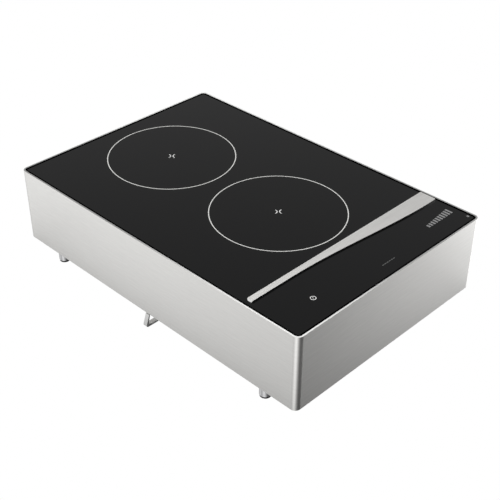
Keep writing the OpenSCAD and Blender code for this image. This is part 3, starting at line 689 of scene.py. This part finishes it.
class COOKTOP_OT_panel_prints(bpy.types.Operator):
    """Print the standby symbol and plain control marks on the glass"""
    bl_idname = "cooktop.panel_prints"
    bl_label = "Panel Prints"

    def execute(self, context):
        sizes = context.scene.cooktop_print
        z, height = GLASS_TOP, sizes.print_height
        front = CASING_LOW.y
        symbol_y = front + SYMBOL_Y
        radius = sizes.symbol_diameter / 2
        bm = bmesh.new()
        add_band(bm, circle_points(SYMBOL_X, symbol_y, radius - SYMBOL_STROKE, SYMBOL_POINTS),
                 circle_points(SYMBOL_X, symbol_y, radius, SYMBOL_POINTS), z, height)
        bar = bar_points(SYMBOL_X, symbol_y, SYMBOL_BAR_LENGTH, SYMBOL_BAR_WIDTH, 90.0)
        add_slab(bm, bar, z, height)
        add_piece("standby_symbol", mesh_from_bmesh("standby_symbol", bm),
                  material_of("symbol_print"))

        bm = bmesh.new()
        for i in range(BAR_COUNT):
            tall = BAR_LOWEST + i * BAR_RISE
            bar = bar_points(BAR_X + i * BAR_PITCH, front + BAR_Y + tall / 2, tall, BAR_WIDTH, 90.0)
            add_slab(bm, bar, z, height)
        add_piece("level_bars", mesh_from_bmesh("level_bars", bm),
                  material_of("grey_print"))

        bm = bmesh.new()
        for i in range(DASH_COUNT):
            dash = bar_points(DASH_X + i * DASH_PITCH, front + DASH_Y, DASH_LENGTH, DASH_WIDTH)
            add_slab(bm, dash, z, height)
        add_piece("dash_row", mesh_from_bmesh("dash_row", bm),
                  material_of("faint_print"))

        bm = bmesh.new()
        mark = bar_points(CORNER_MARK_X, front + CORNER_MARK_Y, CORNER_MARK_SIDE, CORNER_MARK_SIDE)
        add_slab(bm, mark, z, height)
        add_piece("corner_mark", mesh_from_bmesh("corner_mark", bm),
                  material_of("grey_print"))
        return {"FINISHED"}


# ---------------------------------------------------------------- operators: studio

# Directions round the horizon (degrees from +X towards +Y) and their brightness
SURROUND = [(-180, 1.30), (-164, 1.66), (-145, 1.38), (-123, 0.66), (-98, 0.17), (-75, 0.16),
            (-60, 0.18), (-41, 0.02), (-35, 0.5), (-29, 2.3), (-18, 2.9), (0, 1.5), (28, 0.85),
            (64, 0.85), (100, 1.0), (121, 1.05), (124.4, 1.0), (129.3, 2.0), (132.4, 1.55),
            (138.1, 0.95), (160, 0.90)]

# Height (0 straight down, 0.5 level, 1 straight up) and brightness
HEIGHT_STOPS = [(0.0, 0.85), (0.25, 1.0), (0.55, 1.0), (0.66, 0.75), (0.705, 0.34), (0.83, 0.24),
                (0.89, 0.9), (1.0, 1.3)]
PLAIN_WHITE = (1.0, 1.0, 1.0, 1.0)

# The floor's shade in mirrored rays: how far it spreads from the casing, in metres, and its greys
SHADE_REACH = 0.4
SHADE_STOPS = [(0.0, 0.52), (0.12, 0.74), (0.5, 0.97), (1.0, 1.0)]
UNDER_GREY = (0.95, 0.95, 0.95, 1.0)
UNDER_BLEND = 0.03

# The floor's shade under the casing as the camera sees it: where it starts, its blend and its depth
DEEP_START, DEEP_BLEND, DEEP_SHADE = 0.024, 0.08, 0.75

FLOOR_SPREAD = 9
SOFTBOX_HEIGHT, SOFTBOX_SIDE, SOFTBOX_POWER = 1.7, 1.7, 15.0
SENSOR_WIDTH = 36.0
CAMERA_SHIFT = (0.01353, 0.02222)
CAMERA_CLIP = (0.02, 50.0)
CAMERA_AIM = (-42.88 * MM, -44.83 * MM, 60.47 * MM)


def direction_ramp(tree, coordinate, stops):
    """A colour ramp over a 0..1 coordinate; each stop is a place and a grey value."""
    ramp = tree.nodes.new("ShaderNodeValToRGB")
    ramp.color_ramp.interpolation = "LINEAR"
    elements = ramp.color_ramp.elements
    while len(elements) > 1:
        elements.remove(elements[-1])
    elements[0].position = stops[0][0]
    elements[0].color = (*[stops[0][1]] * 3, 1.0)
    for place, value in stops[1:]:
        stop = elements.new(place)
        stop.color = (value, value, value, 1.0)
    tree.links.new(coordinate, ramp.inputs["Fac"])
    return ramp.outputs["Color"]


def build_world():
    """A plain grey surround whose brightness follows direction and height; the camera sees it white."""
    world = bpy.data.worlds.new("studio_surround")
    bpy.context.scene.world = world
    world.use_nodes = True
    tree = world.node_tree
    background = next(n for n in tree.nodes if n.type == "BACKGROUND")
    place = tree.nodes.new("ShaderNodeTexCoord")
    split = tree.nodes.new("ShaderNodeSeparateXYZ")
    tree.links.new(place.outputs["Generated"], split.inputs["Vector"])
    turn = math_node(tree, "ARCTAN2", split.outputs["Y"], split.outputs["X"])
    around = math_node(tree, "ADD", math_node(tree, "DIVIDE", turn, 2 * math.pi), 0.5)
    level = math_node(tree, "ADD", math_node(tree, "MULTIPLY", split.outputs["Z"], 0.5), 0.5)
    round_stops = [((angle + 180) / 360, value) for angle, value in SURROUND]
    round_stops.append((1.0, SURROUND[0][1]))
    sideways = direction_ramp(tree, around, round_stops)
    upright = direction_ramp(tree, level, HEIGHT_STOPS)
    mix = tree.nodes.new("ShaderNodeMix")
    mix.data_type = "RGBA"
    mix.blend_type = "MULTIPLY"
    mix.inputs["Factor"].default_value = 1.0
    tree.links.new(sideways, mix.inputs[6])
    tree.links.new(upright, mix.inputs[7])
    path = tree.nodes.new("ShaderNodeLightPath")
    shown = blend_sockets(tree, path.outputs["Is Camera Ray"], mix.outputs[2], PLAIN_WHITE, "RGBA")
    tree.links.new(shown, background.inputs["Color"])
    background.inputs["Strength"].default_value = 1.0


def floor_material(shade):
    """Pale seamless paper.

    The camera sees it evenly white, with a soft shade deep under the casing. Mirrored rays pass
    through it, a little darker near the casing. Other rays meet a plain matt sheet, and nothing
    sees its underside.
    """
    material, tree, shader = new_material("pale_floor")
    shader.inputs["Base Color"].default_value = (shade, shade, shade, 1.0)
    shader.inputs["Roughness"].default_value = 0.9
    output = next(n for n in tree.nodes if n.type == "OUTPUT_MATERIAL")
    path = tree.nodes.new("ShaderNodeLightPath")
    place = tree.nodes.new("ShaderNodeTexCoord")
    split = tree.nodes.new("ShaderNodeSeparateXYZ")
    tree.links.new(place.outputs["Object"], split.inputs["Vector"])
    past = [math_node(tree, "SUBTRACT", math_node(tree, "ABSOLUTE", split.outputs[axis]), edge)
            for axis, edge in (("X", CASING_HIGH.x), ("Y", CASING_HIGH.y))]
    away = [math_node(tree, "MAXIMUM", value, 0.0) for value in past]
    squares = [math_node(tree, "POWER", value, 2.0) for value in away]
    distance = math_node(tree, "SQRT", math_node(tree, "ADD", *squares))
    inside = math_node(tree, "MULTIPLY", math_node(tree, "MAXIMUM", *past), -1.0)
    near = math_node(tree, "DIVIDE", distance, SHADE_REACH, clamp=True)
    ramp = direction_ramp(tree, near, SHADE_STOPS)
    under = math_node(tree, "DIVIDE", inside, UNDER_BLEND, clamp=True)
    ramp = blend_sockets(tree, under, ramp, UNDER_GREY, "RGBA")
    past_start = math_node(tree, "SUBTRACT", inside, DEEP_START)
    deep = math_node(tree, "DIVIDE", past_start, DEEP_BLEND, clamp=True)
    shade_depth = math_node(tree, "MULTIPLY", deep, DEEP_SHADE)
    seen = tree.nodes.new("ShaderNodeEmission")
    tree.links.new(math_node(tree, "SUBTRACT", 1.0, shade_depth), seen.inputs["Color"])
    mirrored = tree.nodes.new("ShaderNodeBsdfTransparent")
    tree.links.new(ramp, mirrored.inputs["Color"])
    first = tree.nodes.new("ShaderNodeMixShader")
    tree.links.new(path.outputs["Is Glossy Ray"], first.inputs["Fac"])
    tree.links.new(shader.outputs["BSDF"], first.inputs[1])
    tree.links.new(mirrored.outputs["BSDF"], first.inputs[2])
    second = tree.nodes.new("ShaderNodeMixShader")
    tree.links.new(path.outputs["Is Camera Ray"], second.inputs["Fac"])
    tree.links.new(first.outputs["Shader"], second.inputs[1])
    tree.links.new(seen.outputs["Emission"], second.inputs[2])
    face = tree.nodes.new("ShaderNodeNewGeometry")
    clear = tree.nodes.new("ShaderNodeBsdfTransparent")
    third = tree.nodes.new("ShaderNodeMixShader")
    tree.links.new(face.outputs["Backfacing"], third.inputs["Fac"])
    tree.links.new(second.outputs["Shader"], third.inputs[1])
    tree.links.new(clear.outputs["BSDF"], third.inputs[2])
    tree.links.new(third.outputs["Shader"], output.inputs["Surface"])
    return material


def add_softbox(name, place, aim, width, depth, power):
    """A rectangular area light that faces a point."""
    data = bpy.data.lights.new(name, "AREA")
    data.shape = "RECTANGLE"
    data.size, data.size_y = width, depth
    data.energy = power
    light = bpy.data.objects.new(name, data)
    bpy.context.scene.collection.objects.link(light)
    light.location = place
    light.rotation_mode = "QUATERNION"
    light.rotation_quaternion = (Vector(aim) - Vector(place)).to_track_quat("-Z", "Y")


class COOKTOP_OT_studio(bpy.types.Operator):
    """Build the pale floor, the soft lights and the camera"""
    bl_idname = "cooktop.studio"
    bl_label = "Studio"

    def execute(self, context):
        studio = context.scene.cooktop_studio
        size = (CAD_HIGH - CAD_LOW).length
        bm = bmesh.new()
        half = FLOOR_SPREAD * size
        corners = ((-1, -1), (1, -1), (1, 1), (-1, 1))
        bm.faces.new([bm.verts.new((x * half, y * half, 0.0)) for x, y in corners])
        paper = bpy.data.meshes.new("pale_floor")
        bm.to_mesh(paper)
        bm.free()
        floor = bpy.data.objects.new("pale_floor", paper)
        context.scene.collection.objects.link(floor)
        floor.data.materials.append(floor_material(studio.floor_brightness))

        build_world()
        add_softbox("overhead_softbox", (0.0, 0.0, SOFTBOX_HEIGHT), (0, 0, 0),
                    SOFTBOX_SIDE, SOFTBOX_SIDE, SOFTBOX_POWER)
        context.scene.view_settings.view_transform = "Standard"

        lens = bpy.data.cameras.new("camera")
        lens.sensor_width = SENSOR_WIDTH
        lens.lens = studio.lens
        lens.shift_x, lens.shift_y = CAMERA_SHIFT
        lens.clip_start, lens.clip_end = CAMERA_CLIP
        camera = bpy.data.objects.new("camera", lens)
        context.scene.collection.objects.link(camera)
        azimuth, elevation = studio.azimuth, studio.elevation
        back = Vector((math.sin(azimuth) * math.cos(elevation),
                       -math.cos(azimuth) * math.cos(elevation), math.sin(elevation)))
        camera.rotation_mode = "QUATERNION"
        turn = (-back).to_track_quat("-Z", "Y").to_matrix() @ Matrix.Rotation(-studio.roll, 3, "Z")
        camera.rotation_quaternion = turn.to_quaternion()
        camera.location = Vector(CAMERA_AIM) + back * studio.distance
        context.scene.camera = camera
        return {"FINISHED"}


# ---------------------------------------------------------------- panel and run

STEPS = (
    COOKTOP_OT_dress_shell,
    COOKTOP_OT_dress_works,
    COOKTOP_OT_zone_prints,
    COOKTOP_OT_panel_prints,
    COOKTOP_OT_studio,
)
SETTINGS = (
    ("cooktop_finish", CooktopFinishSettings),
    ("cooktop_print", CooktopPrintSettings),
    ("cooktop_studio", CooktopStudioSettings),
)


class COOKTOP_PT_panel(bpy.types.Panel):
    """Lists the cooktop's sizes, colours and building steps"""
    bl_idname = "COOKTOP_PT_panel"
    bl_label = "Induction Cooktop"
    bl_space_type = "VIEW_3D"
    bl_region_type = "UI"
    bl_category = "Cooktop"

    def draw(self, context):
        for attribute, settings in SETTINGS:
            group = getattr(context.scene, attribute)
            column = self.layout.column(align=True)
            for field in settings.__annotations__:
                column.prop(group, field)
        for step in STEPS:
            self.layout.operator(step.bl_idname)


def register():
    for attribute, settings in SETTINGS:
        bpy.utils.register_class(settings)
        setattr(bpy.types.Scene, attribute, bpy.props.PointerProperty(type=settings))
    for step in (*STEPS, COOKTOP_PT_panel):
        bpy.utils.register_class(step)


def unregister():
    for step in reversed((*STEPS, COOKTOP_PT_panel)):
        bpy.utils.unregister_class(step)
    for attribute, settings in reversed(SETTINGS):
        delattr(bpy.types.Scene, attribute)
        bpy.utils.unregister_class(settings)


def main():
    register()
    for step in STEPS:
        group, action = step.bl_idname.split(".")
        getattr(getattr(bpy.ops, group), action)()


if __name__ == "__main__":
    main()
